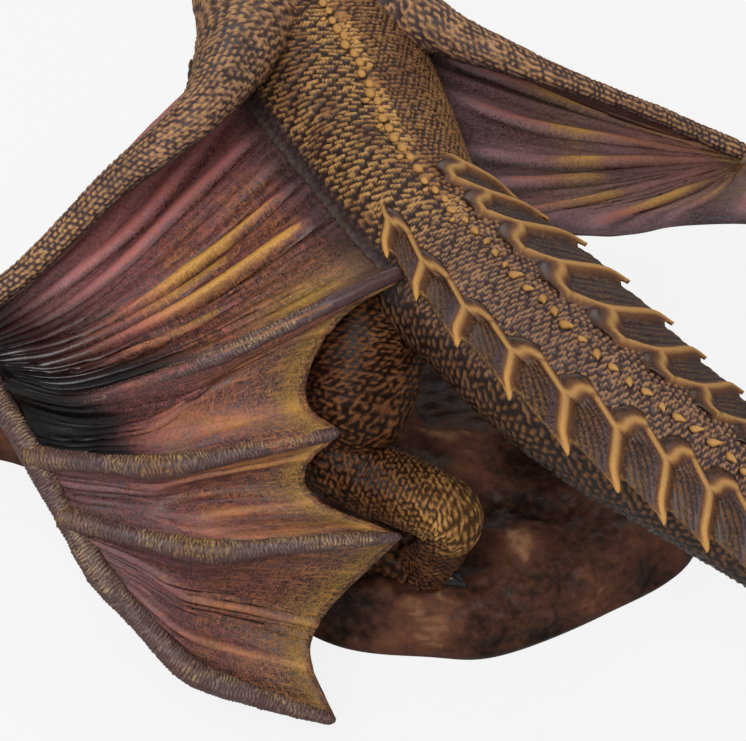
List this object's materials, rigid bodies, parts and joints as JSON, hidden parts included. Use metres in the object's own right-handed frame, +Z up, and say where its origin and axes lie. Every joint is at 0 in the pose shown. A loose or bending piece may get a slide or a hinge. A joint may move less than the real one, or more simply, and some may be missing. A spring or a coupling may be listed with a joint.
{
  "type": "dragon statue",
  "caption": "Painted resin dragon crouching on a low rock, wings half spread, ribbed frill down its tail.",
  "frame": {"origin": "on the flat underside of the rock base, below the dragon's chest", "axes": "+Z up, +Y the way the dragon's body faces, +X towards its right-hand side"},
  "size_m": [0.3371, 0.3535, 0.2571],
  "materials": {
    "painted_dragon": "satin painted cast resin, dark ground with gold dry-brushing",
    "painted_rock": "satin painted cast resin, dark red-brown with tan dry-brushing"
  },
  "bodies": {
    "root": {"dragon": "painted_dragon", "rock_base": "painted_rock"}
  },
  "joints": []
}
